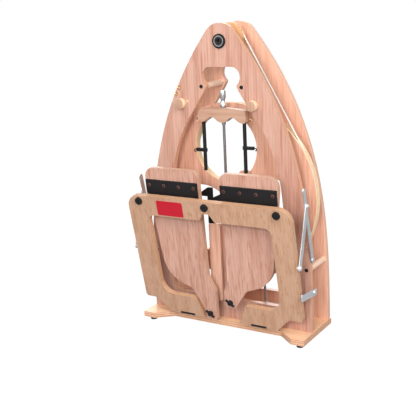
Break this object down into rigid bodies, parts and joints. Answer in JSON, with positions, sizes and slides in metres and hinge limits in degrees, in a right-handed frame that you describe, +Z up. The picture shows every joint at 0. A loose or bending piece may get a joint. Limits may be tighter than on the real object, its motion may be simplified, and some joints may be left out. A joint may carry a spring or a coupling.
{
  "type": "folding spinning wheel",
  "caption": "Portable double-treadle spinning wheel between two arched wooden panels, with a drive wheel, crank, stored flyer and a treadle frame that folds down.",
  "frame": {"origin": "middle of the base's footprint, on the floor under its feet", "axes": "+X to the right as seen from the treadles, +Y to the back, +Z up"},
  "size_m": [0.4152, 0.1945, 0.6721],
  "materials": {
    "lacquered_beech": "satin",
    "birch_plywood": "satin",
    "pale_beech": "satin",
    "black_polymer": "matte",
    "black_rubber": "matte",
    "black_steel": "satin",
    "zinc": "satin",
    "steel": "satin",
    "chrome": "polished",
    "brass": "polished",
    "band_cord": "matte",
    "black_leather": "matte"
  },
  "bodies": {
    "body": {"base_board": "birch_plywood", "base_feet": "black_rubber", "front_panel": "lacquered_beech", "back_panel": "lacquered_beech", "upper_spacer_dowels": "pale_beech", "lower_spacer_dowels": "pale_beech", "panel_screws": "black_steel", "front_axle_bushing": "black_polymer", "back_axle_bushing": "black_polymer", "front_apex_bearing": "black_polymer", "back_apex_bearing": "black_polymer", "guide_eyes": "brass", "bobbin_rods": "zinc", "fold_hinge_base_leaves": "black_steel", "fold_hinge_pins": "steel", "panel_studs": "zinc", "drive_band": "band_cord"},
    "drive_wheel": {"wheel_disc": "lacquered_beech", "hub_flanges": "black_polymer", "axle_spacers": "steel", "axle": "steel", "double_crank": "black_steel", "crank_washer": "black_steel"},
    "whorl": {"whorl": "pale_beech", "whorl_shaft": "steel"},
    "connecting_rod_left": {"connecting_rod_left": "pale_beech", "rod_joint_left": "black_polymer"},
    "connecting_rod_right": {"connecting_rod_right": "pale_beech", "rod_joint_right": "black_polymer"},
    "flyer": {"flyer_yoke": "pale_beech", "orifice_tube": "chrome", "flyer_shaft": "steel", "flyer_arms": "black_polymer", "yoke_end_hooks": "brass"},
    "sliding_hook_left": {"sliding_hook_left": "black_polymer"},
    "sliding_hook_right": {"sliding_hook_right": "black_polymer"},
    "brake_knob": {"brake_knob": "lacquered_beech"},
    "clamp_knob": {"clamp_knob": "lacquered_beech"},
    "treadle_frame": {"treadle_frame_board": "birch_plywood", "hinge_batten": "birch_plywood", "treadle_frame_feet": "black_rubber", "treadle_strip_lower_leaves": "black_polymer", "fold_hinge_frame_leaves": "black_steel", "frame_studs": "zinc"},
    "treadle_left": {"treadle_left": "lacquered_beech", "treadle_strip_left": "black_polymer", "strip_screws_left": "black_steel", "toe_strap_left": "black_leather"},
    "treadle_right": {"treadle_right": "lacquered_beech", "treadle_strip_right": "black_polymer", "strip_screws_right": "black_steel", "toe_strap_right": "black_leather"},
    "wing_knob_left": {"wing_knob_left": "black_polymer"},
    "wing_knob_right": {"wing_knob_right": "black_polymer"},
    "stay_rear_left": {"stay_rear_left": "zinc"},
    "stay_front_left": {"stay_front_left": "zinc"},
    "stay_rear_right": {"stay_rear_right": "zinc"},
    "stay_front_right": {"stay_front_right": "zinc"},
    "fold_latch": {"fold_latch": "zinc"}
  },
  "joints": [
    {"name": "wheel_spin", "type": "hinge", "parent": "body", "child": "drive_wheel", "pos_m": [0, 0.021, 0.303], "axis": [0, 1, 0], "continuous": true},
    {"name": "whorl_spin", "type": "hinge", "parent": "body", "child": "whorl", "pos_m": [0, 0.021, 0.635], "axis": [0, 1, 0], "continuous": true},
    {"name": "rod_left_swing", "type": "hinge", "parent": "drive_wheel", "child": "connecting_rod_left", "pos_m": [-0.03263, -0.03325, 0.28779], "axis": [0, 1, 0], "continuous": true},
    {"name": "rod_right_swing", "type": "hinge", "parent": "drive_wheel", "child": "connecting_rod_right", "pos_m": [0.03263, -0.04525, 0.31821], "axis": [0, 1, 0], "continuous": true},
    {"name": "flyer_lift", "type": "slide", "parent": "body", "child": "flyer", "axis": [0, 0, 1], "range_m": [0, 0.01]},
    {"name": "hook_left_slide", "type": "slide", "parent": "flyer", "child": "sliding_hook_left", "axis": [0, 0, 1], "range_m": [-0.036, 0.05]},
    {"name": "hook_right_slide", "type": "slide", "parent": "flyer", "child": "sliding_hook_right", "axis": [0, 0, 1], "range_m": [-0.046, 0.04]},
    {"name": "brake_knob_turn", "type": "hinge", "parent": "body", "child": "brake_knob", "pos_m": [-0.1, -0.03, 0.503], "axis": [0, 1, 0], "continuous": true},
    {"name": "clamp_knob_turn", "type": "hinge", "parent": "body", "child": "clamp_knob", "pos_m": [0.076, -0.03, 0.503], "axis": [0, 1, 0], "continuous": true},
    {"name": "treadle_frame_fold", "type": "hinge", "parent": "body", "child": "treadle_frame", "pos_m": [0, -0.0368, 0.025], "axis": [1, 0, 0], "range_deg": [0, 78.7]},
    {"name": "treadle_left_swing", "type": "hinge", "parent": "treadle_frame", "child": "treadle_left", "pos_m": [0, -0.09, 0.31418], "axis": [1, 0, 0], "range_deg": [0, 8.37]},
    {"name": "treadle_right_swing", "type": "hinge", "parent": "treadle_frame", "child": "treadle_right", "pos_m": [0, -0.09, 0.31418], "axis": [1, 0, 0], "range_deg": [0, 8.37]},
    {"name": "wing_left_turn", "type": "hinge", "parent": "treadle_left", "child": "wing_knob_left", "pos_m": [-0.027, -0.06128, 0.04151], "axis": [0, 0.9951, 0.0993], "continuous": true},
    {"name": "wing_right_turn", "type": "hinge", "parent": "treadle_right", "child": "wing_knob_right", "pos_m": [0.027, -0.06475, 0.07633], "axis": [0, 0.9951, 0.0993], "continuous": true},
    {"name": "fold_latch_swing", "type": "hinge", "parent": "body", "child": "fold_latch", "pos_m": [0.20595, -0.018, 0.112], "axis": [1, 0, 0], "range_deg": [0, 85]},
    {"name": "stay_rear_left_swing", "type": "hinge", "parent": "body", "child": "stay_rear_left", "pos_m": [-0.2015, -0.018, 0.182], "axis": [1, 0, 0], "range_deg": [0, 113.52]},
    {"name": "stay_front_left_swing", "type": "hinge", "parent": "stay_rear_left", "child": "stay_front_left", "pos_m": [-0.2038, -0.04632, 0.30529], "axis": [1, 0, 0], "range_deg": [-136.52, 0]},
    {"name": "stay_rear_right_swing", "type": "hinge", "parent": "body", "child": "stay_rear_right", "pos_m": [0.2015, -0.018, 0.182], "axis": [1, 0, 0], "range_deg": [0, 113.52]},
    {"name": "stay_front_right_swing", "type": "hinge", "parent": "stay_rear_right", "child": "stay_front_right", "pos_m": [0.2038, -0.04632, 0.30529], "axis": [1, 0, 0], "range_deg": [-136.52, 0]}
  ],
  "couplings": [
    {"joint": "whorl_spin", "follows": "wheel_spin", "ratio": 5.8521},
    {"joint": "rod_left_swing", "follows": "wheel_spin", "ratio": -1},
    {"joint": "rod_right_swing", "follows": "wheel_spin", "ratio": -1},
    {"joint": "treadle_left_swing", "follows": "treadle_frame_fold", "ratio": 0.1},
    {"joint": "treadle_right_swing", "follows": "treadle_frame_fold", "ratio": 0.1},
    {"joint": "stay_rear_left_swing", "follows": "treadle_frame_fold", "ratio": 1.4297},
    {"joint": "stay_front_left_swing", "follows": "treadle_frame_fold", "ratio": -1.722},
    {"joint": "stay_rear_right_swing", "follows": "treadle_frame_fold", "ratio": 1.4297},
    {"joint": "stay_front_right_swing", "follows": "treadle_frame_fold", "ratio": -1.722}
  ]
}
